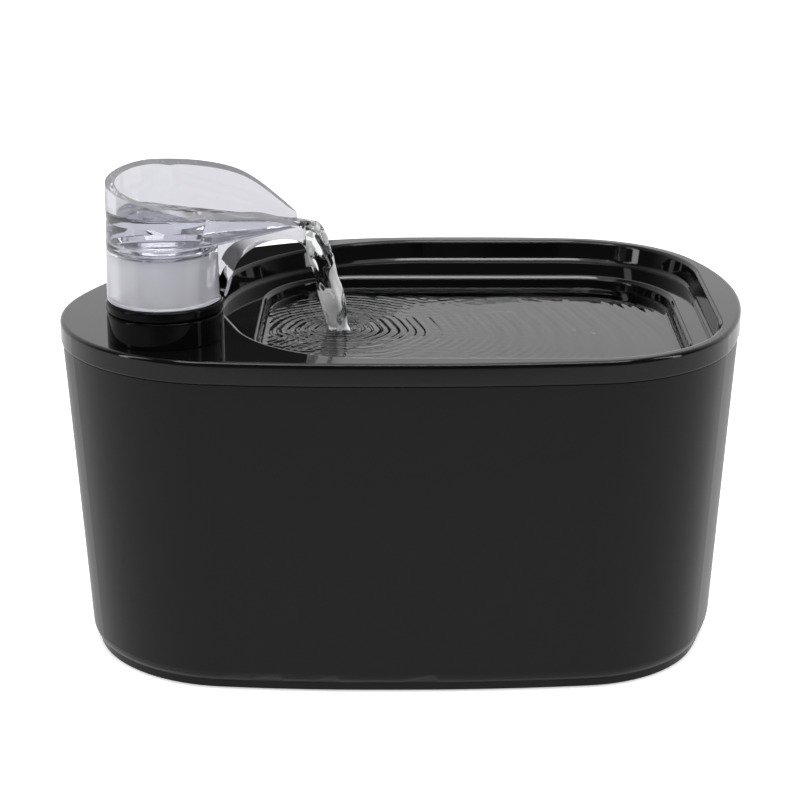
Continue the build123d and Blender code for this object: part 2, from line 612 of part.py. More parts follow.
# ---------------------------------------------------------------- spout cup, drawn with its beak along +X
with BuildPart() as cup_blank:
    with BuildSketch():
        Circle(CUP_R)
        with Locations((TIP_REACH - TIP_R, 0)):
            Circle(TIP_R)
        make_hull()
    extrude(amount=CUP_TOP, taper=CUP_DRAFT)
    # side view of the beak, cut along its underside
    with BuildSketch(Plane.XZ):
        with BuildLine():
            under = Spline(UNDERSIDE)
            Polyline(under @ 1, (TIP_REACH + TIP_R, CUP_TOP), (-CUP_R, CUP_TOP), (-CUP_R, CUP_WALL), under @ 0)
        make_face()
    extrude(amount=CUP_R, both=True, mode=Mode.INTERSECT)
    with BuildSketch():
        Circle(CUP_R)
    extrude(amount=CUP_TOP, taper=CUP_DRAFT)
    # bowl, then the channel that leads out over the tip
    with BuildSketch(Plane.XZ):
        with BuildLine():
            mouth_r = CUP_R - CUP_WALL
            Polyline(
                (0, BOWL_FLOOR),
                (BOWL_FLOOR_R, BOWL_FLOOR),
                (mouth_r, BOWL_SHOULDER),
                (mouth_r, CUP_TOP),
                (0, CUP_TOP),
                close=True,
            )
        make_face()
    revolve(axis=Axis.Z, mode=Mode.SUBTRACT)
    with BuildSketch(Plane.XY.offset(CHANNEL_FLOOR)):
        with Locations((TIP_REACH - TIP_R, 0)):
            Circle(TIP_R - TIP_WALL)
        with Locations((BOWL_FLOOR_R - TIP_WALL, 0)):
            Circle(BOWL_FLOOR_R)
        make_hull()
        with Locations((TIP_REACH, 0)):
            Rectangle(2 * TIP_R, 2 * (TIP_R - TIP_WALL))
    extrude(amount=CUP_TOP, mode=Mode.SUBTRACT)
    # rim: a surface ruled between the far and near sides
    for side, column in ((1, 1), (-1, 2)):
        with BuildSketch(Plane.XZ.offset(-side * RIM_SPAN * 2)):
            with BuildLine():
                edge_points = []
                for point in RIM_CURVE:
                    middle = (point[1] + point[2]) / 2
                    edge_points.append((point[0], middle + (point[column] - middle) * 2))
                rim = Spline(edge_points)
                Polyline(rim @ 1, (TIP_REACH + TIP_R, 2 * CUP_TOP), (-CUP_R - TIP_R, 2 * CUP_TOP), rim @ 0)
            make_face()
    loft(ruled=True, mode=Mode.SUBTRACT)
    # hollow under the bowl, round the socket that takes the spigot
    with BuildSketch(Plane.XZ):
        with BuildLine():
            hollow_r = CUP_R - CUP_WALL
            hollow_top = BOWL_FLOOR - CUP_SKIN
            Polyline(
                (SOCKET_R + SOCKET_WALL, 0),
                (hollow_r, 0),
                (hollow_r, hollow_top + hollow_r - BOWL_FLOOR_R),
                (BOWL_FLOOR_R, hollow_top),
                (SOCKET_R + SOCKET_WALL, hollow_top),
                close=True,
            )
        make_face()
    revolve(axis=Axis.Z, mode=Mode.SUBTRACT)
    with BuildSketch():
        Circle(SOCKET_R)
    extrude(amount=SOCKET_DEPTH, mode=Mode.SUBTRACT)
    with BuildSketch():
        Circle(SPIGOT_BORE_R)
    extrude(amount=CUP_TOP, mode=Mode.SUBTRACT)
    fillet(cup_blank.edges().group_by(Axis.Z)[0].sort_by(SortBy.LENGTH)[-2:], CUP_EDGE_R)
spout_cup = Pos(COLLAR_X, COLLAR_Y, CUP_Z) * Rot(0, 0, BEAK_ANGLE) * cup_blank.part
spout_cup.label = "spout_cup"
export_step(spout_cup, "parts/spout_cup.step")

# ---------------------------------------------------------------- pump housing
with BuildPart() as pump_body:
    with BuildSketch(rotor_plane(CHAMBER_FRONT)):
        pump_outline()
    extrude(amount=CHAMBER_FRONT - MOTOR_END)
    # outlet spigot and its bore into the chamber
    with BuildSketch(collar_plane(ROTOR_Z)):
        Circle(RISER_R)
    extrude(amount=PUMP_H / 2 + OUTLET_H)
    with BuildSketch(rotor_plane(CHAMBER_FRONT)):
        Circle(CHAMBER_R)
    extrude(amount=-2 * CHAMBER_HALF, mode=Mode.SUBTRACT)
    with BuildSketch(rotor_plane(CHAMBER_FRONT)):
        Circle(MAGNET_R + MAGNET_GAP)
    extrude(amount=CHAMBER_FRONT - MAGNET_WELL_END, mode=Mode.SUBTRACT)
    with BuildSketch(rotor_plane(CHAMBER_FRONT)):
        Circle(BUSH_R + RUN_GAP)
    extrude(amount=CHAMBER_FRONT - MAGNET_WELL_END - BUSH_L, mode=Mode.SUBTRACT)
    with BuildSketch(collar_plane(ROTOR_Z)):
        Circle(OUTLET_R)
    extrude(amount=PUMP_H / 2 + OUTLET_H, mode=Mode.SUBTRACT)
    # sockets for the suction cups and the cable gland
    with BuildSketch(Plane.XY.offset(PUMP_Z)):
        for suction_y in SUCTION_Y:
            with Locations((ROTOR_X - SUCTION_X, COLLAR_Y + suction_y), (ROTOR_X + SUCTION_X, COLLAR_Y + suction_y)):
                Circle(SUCTION_NECK_R + RUN_GAP)
    extrude(amount=SUCTION_NECK_H + RUN_GAP, mode=Mode.SUBTRACT)
    with BuildSketch(rotor_plane(MOTOR_END)):
        with Locations((0, GLAND_Z - PUMP_H / 2)):
            Circle(GLAND_R - GLAND_STEP + RUN_GAP)
    extrude(amount=GLAND_STEP_L, mode=Mode.SUBTRACT)
pump_body.part.label = "pump_body"
export_step(pump_body.part, "parts/pump_body.step")

# front cover: inlet ring, three arms and the hub of the front bush
with BuildPart() as pump_cover:
    with BuildSketch(rotor_plane(CHAMBER_FRONT)):
        pump_outline()
        Circle(COVER_INLET_R, mode=Mode.SUBTRACT)
        Circle(BUSH_R + HUB_WALL)
        with PolarLocations(COVER_INLET_R / 2, SPIDER_ARMS, start_angle=90):
            Rectangle(COVER_INLET_R + 1, SPIDER_W)
    extrude(amount=COVER_T)
    with BuildSketch(rotor_plane(COVER_FRONT + BUSH_L)):
        Circle(BUSH_R + HUB_WALL)
    extrude(amount=BUSH_L)
    with BuildSketch(rotor_plane(COVER_FRONT + BUSH_L)):
        Circle(BUSH_R + RUN_GAP)
    extrude(amount=BUSH_L, mode=Mode.SUBTRACT)
pump_cover.part.label = "pump_cover"
export_step(pump_cover.part, "parts/pump_cover.step")

with BuildPart() as shaft_bushes:
    for open_end, closed_end in (
        (COVER_FRONT + BUSH_L, COVER_FRONT),
        (MAGNET_WELL_END, MAGNET_WELL_END + BUSH_L),
    ):
        length = open_end - closed_end
        blind = SHAFT_BLIND * length / abs(length)
        with BuildSketch(rotor_plane(open_end)):
            Circle(BUSH_R)
        extrude(amount=length)
        with BuildSketch(rotor_plane(open_end)):
            Circle(SHAFT_R + RUN_GAP)
        extrude(amount=length - blind, mode=Mode.SUBTRACT)
shaft_bushes.part.label = "shaft_bushes"
export_step(shaft_bushes.part, "parts/shaft_bushes.step")

with BuildPart() as impeller_shaft:
    shaft_front = COVER_FRONT + SHAFT_BLIND + RUN_GAP
    shaft_back = MAGNET_WELL_END + BUSH_L - SHAFT_BLIND - RUN_GAP
    with BuildSketch(rotor_plane(shaft_front)):
        Circle(SHAFT_R)
    extrude(amount=shaft_front - shaft_back)
impeller_shaft.part.label = "impeller_shaft"
export_step(impeller_shaft.part, "parts/impeller_shaft.step")

# ---------------------------------------------------------------- impeller: wheel with blades, magnet behind
with BuildPart() as impeller_wheel:
    with BuildSketch(rotor_plane(WHEEL_BACK)):
        Circle(WHEEL_R)
    extrude(amount=WHEEL_PLATE)
    with BuildSketch(rotor_plane(WHEEL_BACK)):
        Circle(WHEEL_HUB_R)
        blade_mid = (WHEEL_R + WHEEL_HUB_R) / 2
        with PolarLocations(blade_mid, BLADES):
            Rectangle(WHEEL_R - WHEEL_HUB_R + BLADE_T, BLADE_T)
    extrude(amount=WHEEL_H)
    with BuildSketch(rotor_plane(WHEEL_FRONT)):
        Circle(WHEEL_R)
    extrude(amount=-WHEEL_H, mode=Mode.INTERSECT)
    with BuildSketch(rotor_plane(WHEEL_FRONT)):
        Circle(SHAFT_R + RUN_GAP)
    extrude(amount=-WHEEL_H, mode=Mode.SUBTRACT)
impeller_wheel.part.label = "impeller_wheel"
export_step(impeller_wheel.part, "parts/impeller_wheel.step")

with BuildPart() as rotor_magnet:
    with BuildSketch(rotor_plane(WHEEL_BACK)):
        Circle(MAGNET_R)
        Circle(SHAFT_R + RUN_GAP, mode=Mode.SUBTRACT)
    extrude(amount=-MAGNET_L)
rotor_magnet.part.label = "rotor_magnet"
export_step(rotor_magnet.part, "parts/rotor_magnet.step")

# ---------------------------------------------------------------- slotted intake cap, foam and flow slider
with BuildPart() as intake_cap:
    with BuildSketch(rotor_plane(COVER_FRONT)):
        Circle(CAP_R)
    extrude(amount=CAP_H)
    chamfer(intake_cap.edges().group_by(Axis.Y)[0], COLLAR_BEVEL)
    with BuildSketch(rotor_plane(COVER_FRONT)):
        Circle(CAP_R - CAP_WALL)
    extrude(amount=CAP_H - CAP_WALL, mode=Mode.SUBTRACT)
    with BuildSketch(rotor_plane(CAP_FRONT)):
        with GridLocations(CAP_SLOT_PITCH, CAP_SLOT_PITCH, 1, CAP_SLOTS):
            SlotOverall(CAP_SLOT_L, CAP_SLOT_W)
    extrude(amount=-CAP_WALL, mode=Mode.SUBTRACT)
    # rails that hold the slider
    with BuildSketch(rotor_plane(CAP_FRONT)):
        with GridLocations(SLIDER_W + 2 * SLIDE_GAP + RAIL, 0, 2, 1):
            Rectangle(RAIL, RAIL_H)
    extrude(amount=SLIDER_T + SLIDE_GAP + RAIL)
    with BuildSketch(rotor_plane(CAP_FRONT - SLIDER_T - 2 * SLIDE_GAP)):
        with GridLocations(SLIDER_W + RAIL / 2, 0, 2, 1):
            Rectangle(RAIL, RAIL_H)
    extrude(amount=RAIL - SLIDE_GAP)
intake_cap.part.label = "intake_cap"
export_step(intake_cap.part, "parts/intake_cap.step")

with BuildPart() as intake_foam:
    with BuildSketch(rotor_plane(COVER_FRONT)):
        Circle(CAP_R - CAP_WALL - SLIDE_GAP)
    extrude(amount=CAP_H - CAP_WALL - SLIDE_GAP)
intake_foam.part.label = "intake_foam"
export_step(intake_foam.part, "parts/intake_foam.step")

with BuildPart() as flow_slider:
    with BuildSketch(rotor_plane(CAP_FRONT - SLIDE_GAP)):
        with Locations((0, -SLIDER_TRAVEL / 2)):
            Rectangle(SLIDER_W, SLIDER_H)
    extrude(amount=SLIDER_T)
    with BuildSketch(rotor_plane(CAP_FRONT - SLIDE_GAP)):
        with Locations((0, -SLIDER_TRAVEL / 2)):
            Rectangle(SLIDER_W / 2, RAIL)
    extrude(amount=SLIDER_T + RAIL)
flow_slider.part.label = "flow_slider"
export_step(flow_slider.part, "parts/flow_slider.step")

# ---------------------------------------------------------------- suction cups and cable gland
with BuildPart() as suction_cups:
    with BuildSketch(Plane.XZ):
        with BuildLine():
            Polyline((0, SUCTION_H / 2), (SUCTION_NECK_R * 2, 0), (SUCTION_R, 0))
            Line((SUCTION_R, 0), (SUCTION_R, SUCTION_RIM))
            Line((SUCTION_R, SUCTION_RIM), (SUCTION_NECK_R, SUCTION_H - SUCTION_RIM))
            Line((SUCTION_NECK_R, SUCTION_H - SUCTION_RIM), (SUCTION_NECK_R, SUCTION_H + SUCTION_NECK_H))
            Line((SUCTION_NECK_R, SUCTION_H + SUCTION_NECK_H), (0, SUCTION_H + SUCTION_NECK_H))
            Line((0, SUCTION_H + SUCTION_NECK_H), (0, SUCTION_H / 2))
        make_face()
    cup = revolve(axis=Axis.Z, mode=Mode.PRIVATE)
    for suction_y in SUCTION_Y:
        for side in (-1, 1):
            add(Pos(ROTOR_X + side * SUCTION_X, COLLAR_Y + suction_y, FLOOR_Z) * cup)
suction_cups.part.label = "suction_cups"
export_step(suction_cups.part, "parts/suction_cups.step")

with BuildPart() as pump_cable_gland:
    with BuildSketch(rotor_plane(MOTOR_END)):
        with Locations((0, GLAND_Z - PUMP_H / 2)):
            Circle(GLAND_R)
    extrude(amount=-GLAND_L)
    with BuildSketch(rotor_plane(MOTOR_END)):
        with Locations((0, GLAND_Z - PUMP_H / 2)):
            Circle(GLAND_R - GLAND_STEP)
    extrude(amount=GLAND_STEP_L - RUN_GAP)
    with BuildSketch(rotor_plane(MOTOR_END)):
        with Locations((0, GLAND_Z - PUMP_H / 2)):
            Circle(CABLE_R)
    extrude(amount=-GLAND_L, mode=Mode.SUBTRACT)
    chamfer(pump_cable_gland.edges().group_by(Axis.Y)[-1].sort_by(SortBy.LENGTH)[-1], GLAND_STEP)
pump_cable_gland.part.label = "pump_cable_gland"
export_step(pump_cable_gland.part, "parts/pump_cable_gland.step")

# ---------------------------------------------------------------- lift-out filter cartridge in the drain well
frame_l = WELL_L - 2 * SEAT_GAP
frame_w = WELL_W - 2 * SEAT_GAP
frame_r = WELL_R - SEAT_GAP
frame_h = WELL_DEPTH - CARTRIDGE_LID_H
inside_l = frame_l - 2 * CARTRIDGE_WALL
inside_w = frame_w - 2 * CARTRIDGE_WALL
inside_r = frame_r - CARTRIDGE_WALL
with BuildPart() as filter_frame:
    extrude(rounded_box(WELL_Z, frame_l, frame_w, frame_r), frame_h)
    extrude(
        rounded_box(WELL_Z + CARTRIDGE_WALL, inside_l, inside_w, inside_r),
        frame_h,
        mode=Mode.SUBTRACT,
    )
    extrude(slot_row(WELL_Z), CARTRIDGE_WALL, mode=Mode.SUBTRACT)
filter_frame.part.label = "filter_frame"
export_step(filter_frame.part, "parts/filter_frame.step")

with BuildPart() as filter_felt:
    extrude(
        rounded_box(
            WELL_Z + CARTRIDGE_WALL,
            inside_l - 2 * SEAT_GAP,
            inside_w - 2 * SEAT_GAP,
            inside_r - SEAT_GAP,
        ),
        FELT_H,
    )
filter_felt.part.label = "filter_felt"
export_step(filter_felt.part, "parts/filter_felt.step")

with BuildPart() as filter_media:
    extrude(
        rounded_box(
            WELL_Z + CARTRIDGE_WALL + FELT_H,
            inside_l - 2 * SEAT_GAP,
            inside_w - 2 * SEAT_GAP,
            inside_r - SEAT_GAP,
        ),
        frame_h - CARTRIDGE_WALL - FELT_H - SEAT_GAP,
    )
filter_media.part.label = "filter_media"
export_step(filter_media.part, "parts/filter_media.step")

with BuildPart() as filter_lid:
    extrude(rounded_box(WELL_Z + frame_h, frame_l, frame_w, frame_r), CARTRIDGE_LID_H)
    chamfer(filter_lid.edges().group_by(Axis.Z)[-1], CARTRIDGE_LID_H / 4)
    extrude(slot_row(WELL_Z + frame_h), CARTRIDGE_LID_H, mode=Mode.SUBTRACT)
filter_lid.part.label = "filter_lid"
export_step(filter_lid.part, "parts/filter_lid.step")
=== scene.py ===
"""Pet water fountain: finishes, clear cup, moving water and studio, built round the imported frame."""

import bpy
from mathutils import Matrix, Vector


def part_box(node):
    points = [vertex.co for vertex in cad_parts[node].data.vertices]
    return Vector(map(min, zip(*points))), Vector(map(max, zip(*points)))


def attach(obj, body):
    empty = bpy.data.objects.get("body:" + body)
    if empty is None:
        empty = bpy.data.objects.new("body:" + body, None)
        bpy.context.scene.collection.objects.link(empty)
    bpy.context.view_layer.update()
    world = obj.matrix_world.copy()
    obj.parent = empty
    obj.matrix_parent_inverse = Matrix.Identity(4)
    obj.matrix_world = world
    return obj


bl_info = {
    "name": "Pet Water Fountain",
    "version": (1, 0, 0),
    "blender": (4, 5, 0),
    "location": "3D View > Sidebar > Fountain",
    "description": "Dresses the fountain's frame and adds its water and a studio",
    "category": "Object",
}

from math import pi, radians, tan

import bmesh
import bpy
import numpy as np
from mathutils import Vector

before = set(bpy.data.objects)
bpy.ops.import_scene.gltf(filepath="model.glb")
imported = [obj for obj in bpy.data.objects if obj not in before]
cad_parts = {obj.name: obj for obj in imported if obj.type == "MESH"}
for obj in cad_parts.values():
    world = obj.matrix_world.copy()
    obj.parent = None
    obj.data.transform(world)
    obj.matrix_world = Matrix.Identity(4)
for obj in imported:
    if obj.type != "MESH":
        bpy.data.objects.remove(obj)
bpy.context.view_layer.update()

MM = 0.001
DECK_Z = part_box("tray")[1].z
RING_LOW, RING_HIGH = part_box("collar_ring")
SPOUT_X = (RING_LOW.x + RING_HIGH.x) / 2
SPOUT_Y = (RING_LOW.y + RING_HIGH.y) / 2
CUP_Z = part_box("spout_cup")[0].z
BEAK = radians(30.0)                # the beak's direction, from +X towards the back
LEDGE_Z = DECK_Z - 8.3 * MM         # the splash ledge lies this far below the deck
POOL_FLOOR_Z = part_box("filter_lid")[1].z
LANDING_X, LANDING_Y = -26.0 * MM, -1.0 * MM        # where the stream meets the pool
WHITE = (1.0, 1.0, 1.0, 1.0)


# ---------------------------------------------------------------- settings
class FountainFinishes(bpy.types.PropertyGroup):
    """Colours and gloss of the moulded pieces."""

    tank_colour: bpy.props.FloatVectorProperty(
        name="Tank colour", description="Colour of the satin tank", subtype="COLOR",
        size=3, min=0, max=1, default=(0.007, 0.007, 0.0074),
    )
    tank_roughness: bpy.props.FloatProperty(
        name="Tank roughness", description="Roughness of the satin tank", min=0, max=1, default=0.30,
    )
    tray_colour: bpy.props.FloatVectorProperty(
        name="Tray colour", description="Colour of the gloss tray and collar", subtype="COLOR",
        size=3, min=0, max=1, default=(0.0025, 0.0025, 0.0028),
    )
    tray_roughness: bpy.props.FloatProperty(
        name="Tray roughness", description="Roughness of the gloss tray and collar",
        min=0, max=1, default=0.045,
    )
    cup_tint: bpy.props.FloatVectorProperty(
        name="Cup tint", description="Tint of the clear cup", subtype="COLOR",
        size=3, min=0, max=1, default=(0.75, 0.75, 0.80),
    )


class FountainWater(bpy.types.PropertyGroup):
    """Levels and movement of the water."""

    pool_drop: bpy.props.FloatProperty(
        name="Pool level", description="Pool surface below the deck", unit="LENGTH", default=13.5 * MM,
    )
    cup_level: bpy.props.FloatProperty(
        name="Cup level", description="Water in the cup above the cup's lower edge",
        unit="LENGTH", default=32.8 * MM,
    )
    ring_spacing: bpy.props.FloatProperty(
        name="Ring spacing", description="Distance between ripple crests", unit="LENGTH", default=3.4 * MM,
    )
    ring_height: bpy.props.FloatProperty(
        name="Ring height", description="Height of the first ripple", unit="LENGTH", default=0.36 * MM,
    )
    stream_radius: bpy.props.FloatProperty(
        name="Stream radius", description="Half width of the falling stream",
        unit="LENGTH", default=5.3 * MM,
    )


class FountainStudio(bpy.types.PropertyGroup):
    """Floor and camera."""

    floor_colour: bpy.props.FloatVectorProperty(
        name="Floor colour", description="Colour of the studio floor", subtype="COLOR",
        size=3, min=0, max=1, default=(0.9, 0.9, 0.9),
    )
    camera_back: bpy.props.FloatProperty(
        name="Camera distance", description="Camera in front of the middle", unit="LENGTH", default=0.8194,
    )
    camera_rise: bpy.props.FloatProperty(
        name="Camera rise", description="Camera above the deck", unit="LENGTH", default=0.2261,
    )
    camera_pitch: bpy.props.FloatProperty(
        name="Camera pitch", description="Camera's tilt down", subtype="ANGLE", default=radians(18.21),
    )


# ---------------------------------------------------------------- shader nodes
def add_node(tree, kind, inputs, **settings):
    """A node with its settings. Each input, by name or number, gets a value, or follows an output."""
    node = tree.nodes.new(kind)
    for setting, value in settings.items():
        setattr(node, setting, value)
    for socket, value in inputs.items():
        if isinstance(value, bpy.types.NodeSocket):
            tree.links.new(value, node.inputs[socket])
        else:
            node.inputs[socket].default_value = value
    return node


def maths(tree, operation, first, second):
    """Output of one operation on two numbers, each a value or an output."""
    return add_node(tree, "ShaderNodeMath", {0: first, 1: second}, operation=operation).outputs[0]


def ramp(tree, source, start, end, low=0.0, high=1.0, blend="LINEAR"):
    """Output that goes from low, where the source is at start, to high, where it is at end."""
    step = add_node(tree, "ShaderNodeMapRange",
                    {"Value": source, "From Min": start, "From Max": end, "To Min": low, "To Max": high},
                    interpolation_type=blend)
    return step.outputs["Result"]


def choose(tree, factor, first, second):
    """The second shader where the factor is 1, the first elsewhere."""
    return add_node(tree, "ShaderNodeMixShader", {0: factor, 1: first, 2: second}).outputs[0]


def object_place(tree):
    """Output with the place in the object's own frame."""
    return add_node(tree, "ShaderNodeTexCoord", {}).outputs["Object"]


def inside(tree, most, *conditions):
    """Product of ramps, each a source with its values at 0 and at 1: most where every condition holds."""
    whole = most
    for source, (start, end) in conditions:
        whole = maths(tree, "MULTIPLY", whole, ramp(tree, source, start, end))
    return whole


# ---------------------------------------------------------------- materials
MIX_SOCKETS = {"FLOAT": (2, 3, 0), "RGBA": (6, 7, 2)}       # a Mix node's two inputs and its output
GLOSS_EDGE = 1.1 * MM       # rounding of the gloss pieces' edges
GLOSS_MARKS = 9             # scale of the handling marks on gloss
GLOSS_SPREAD = 0.3          # share by which those marks vary the roughness
LOBE_EDGE = (0.505, 0.525)  # noise values between which falling water turns milky white, part aeration and part painted highlight


def new_material(title, **values):
    """A Principled material; each keyword is a socket's name with underscores for spaces."""
    material = bpy.data.materials.new(title)
    material.use_nodes = True
    shader = material.node_tree.nodes["Principled BSDF"]
    for name, value in values.items():
        socket = shader.inputs[name.replace("_", " ")]
        socket.default_value = (*value, 1) if isinstance(value, tuple) else value
    return material


def feed(material, output, socket):
    """Links an output to a socket of the material's shader."""
    tree = material.node_tree
    tree.links.new(output, tree.nodes["Principled BSDF"].inputs[socket])


def vary(material, factor, **values):
    """Moves the shader's sockets towards other values by a linked factor between 0 and 1."""
    tree = material.node_tree
    for name, value in values.items():
        socket = tree.nodes["Principled BSDF"].inputs[name.replace("_", " ")]
        present = socket.links[0].from_socket if socket.is_linked else socket.default_value
        kind = "RGBA" if isinstance(value, tuple) else "FLOAT"
        first, second, result = MIX_SOCKETS[kind]
        towards = (*value, 1) if kind == "RGBA" else value
        mix = add_node(tree, "ShaderNodeMix", {0: factor, first: present, second: towards}, data_type=kind)
        tree.links.new(mix.outputs[result], socket)


def grain(material, scale, strength, distance):
    """Fine moulded grain: a noise pattern in object space drives a shallow bump."""
    tree = material.node_tree
    noise = add_node(tree, "ShaderNodeTexNoise", {"Vector": object_place(tree), "Scale": scale, "Detail": 3})
    bump = add_node(tree, "ShaderNodeBump",
                    {"Height": noise.outputs["Fac"], "Strength": strength, "Distance": distance})
    feed(material, bump.outputs["Normal"], "Normal")


def patchy_roughness(material, scale, low, high):
    """Handling marks: a noise pattern in object space varies the roughness."""
    tree = material.node_tree
    noise = add_node(tree, "ShaderNodeTexNoise", {"Vector": object_place(tree), "Scale": scale})
    feed(material, ramp(tree, noise.outputs["Fac"], 0.0, 1.0, low, high), "Roughness")


def soft_edges(material, radius):
    """Rounded look along every edge of the piece, inner corners too."""
    rounding = add_node(material.node_tree, "ShaderNodeBevel", {"Radius": radius}, samples=8)
    feed(material, rounding.outputs["Normal"], "Normal")


def speckle(name, roughness, scale, dark, light):
    """Granules or fibres: cells in object space mix two colours."""
    material = new_material(name, Roughness=roughness)
    tree = material.node_tree
    cells = add_node(tree, "ShaderNodeTexVoronoi", {"Vector": object_place(tree), "Scale": scale})
    shades = add_node(tree, "ShaderNodeValToRGB", {"Fac": cells.outputs["Distance"]})
    for stop, shade in zip(shades.color_ramp.elements, (dark, light)):
        stop.color = (*shade, 1)
    feed(material, shades.outputs["Color"], "Base Color")
    return material


def gloss(name, finish, shine):
    """Polished black plastic with faint handling marks and rounded edges."""
    material = new_material(name, Base_Color=tuple(finish.tray_colour), IOR=1.52, Specular_IOR_Level=shine)
    low, high = 1 - GLOSS_SPREAD, 1 + GLOSS_SPREAD
    patchy_roughness(material, GLOSS_MARKS, finish.tray_roughness * low, finish.tray_roughness * high)
    soft_edges(material, GLOSS_EDGE)
    return material


def clear_water(name, tint=(0.97, 0.98, 1.0), index=1.333):
    """Water: clear, with water's refraction unless another index is given."""
    return new_material(name, Base_Color=tint, Roughness=0.0, IOR=index, Transmission_Weight=1.0)


def aerate_with_painted_highlight(material, scale, stretch):
    """Milky white lobes in falling water, part aeration and part painted highlight for the light the stream
    catches: a noise in object space, drawn out by stretch, says where.
    """
    tree = material.node_tree
    drawn_out = add_node(tree, "ShaderNodeMapping", {"Vector": object_place(tree), "Scale": stretch})
    noise = add_node(tree, "ShaderNodeTexNoise",
                     {"Vector": drawn_out.outputs["Vector"], "Scale": scale, "Detail": 1})
    lobes = ramp(tree, noise.outputs["Fac"], *LOBE_EDGE)
    # the white lobes are part aeration and part painted highlight for light caught by the stream
    vary(material, lobes, Base_Color=(1.0, 1.0, 1.0), Roughness=0.06, Transmission_Weight=0.12)


def dress(material, *nodes):
    """Gives a material to CAD nodes."""
    for node in nodes:
        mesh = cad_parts[node].data
        mesh.materials.clear()
        mesh.materials.append(material)


# ---------------------------------------------------------------- meshes
WELD = 0.001 * MM       # points closer than this are one
HALVINGS = 40           # of an interval, in the search for an edge


def layer(x, y, z):
    """Points of one or more rings, from coordinates that broadcast together."""
    return np.stack(np.broadcast_arrays(x, y, z), axis=-1)


def ring_faces(rows, columns):
    """Quads of a grid of rows x columns points whose last column joins its first, as an index array."""
    row, column = np.meshgrid(np.arange(rows - 1), np.arange(columns), indexing="ij")
    beside = (column + 1) % columns
    quads = np.stack([row * columns + column, row * columns + beside,
                      (row + 1) * columns + beside, (row + 1) * columns + column], axis=-1)
    return quads.reshape(-1, 4)


def add_water(name, rings, body, material):
    """Puts rings of points into a mesh with quads between them, merges its doubles, points its faces
    outwards and rides it on a body."""
    mesh = bpy.data.meshes.new(name)
    mesh.from_pydata(rings.reshape(-1, 3).tolist(), [], ring_faces(*rings.shape[:2]).tolist())
    mesh.validate()
    piece = bpy.data.objects.new(name, mesh)
    bpy.context.scene.collection.objects.link(piece)
    merged = bmesh.new()
    merged.from_mesh(mesh)
    bmesh.ops.remove_doubles(merged, verts=merged.verts, dist=WELD)
    bmesh.ops.recalc_face_normals(merged, faces=merged.faces)
    merged.to_mesh(mesh)
    merged.free()
    mesh.polygons.foreach_set("use_smooth", [True] * len(mesh.polygons))
    mesh.materials.append(material)
    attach(piece, body)


def farthest(angles, limit, holds):
    """Largest distance in each direction where holds(x, y) is still true, by halving an interval."""
    near, far = np.zeros_like(angles), np.full_like(angles, limit)
    for _ in range(HALVINGS):
        middle = (near + far) / 2
        within = holds(middle * np.cos(angles), middle * np.sin(angles))
        near, far = np.where(within, middle, near), np.where(within, far, middle)
    return near


# ---------------------------------------------------------------- finishes
class FOUNTAIN_OT_dress_tank(bpy.types.Operator):
    """Satin tank, and the black rubber pieces"""

    bl_idname = "fountain.dress_tank"
    bl_label = "Dress Tank"

    def execute(self, context):
        finish = context.scene.fountain_finishes
        satin = new_material("satin_black", Base_Color=tuple(finish.tank_colour),
                             Roughness=finish.tank_roughness, IOR=1.5, Specular_IOR_Level=0.17)
        grain(satin, scale=2600, strength=0.12, distance=0.04 * MM)
        dress(satin, "tank")
        rubber = new_material("black_rubber", Base_Color=(0.018, 0.018, 0.018), Roughness=0.65)
        grain(rubber, scale=1500, strength=0.2, distance=0.05 * MM)
        dress(rubber, "rubber_feet", "cable_grommet", "pump_cable_gland", "riser_coupling", "shaft_bushes")
        return {"FINISHED"}


class FOUNTAIN_OT_dress_tray(bpy.types.Operator):
    """Gloss tray and filter lid, and the deeper black collar"""

    bl_idname = "fountain.dress_tray"
    bl_label = "Dress Tray"

    def execute(self, context):
        finish = context.scene.fountain_finishes
        dress(gloss("gloss_black", finish, shine=0.30), "tray", "filter_lid")
        dress(gloss("deep_black", finish, shine=0.05), "collar_base", "collar_ring")
        return {"FINISHED"}


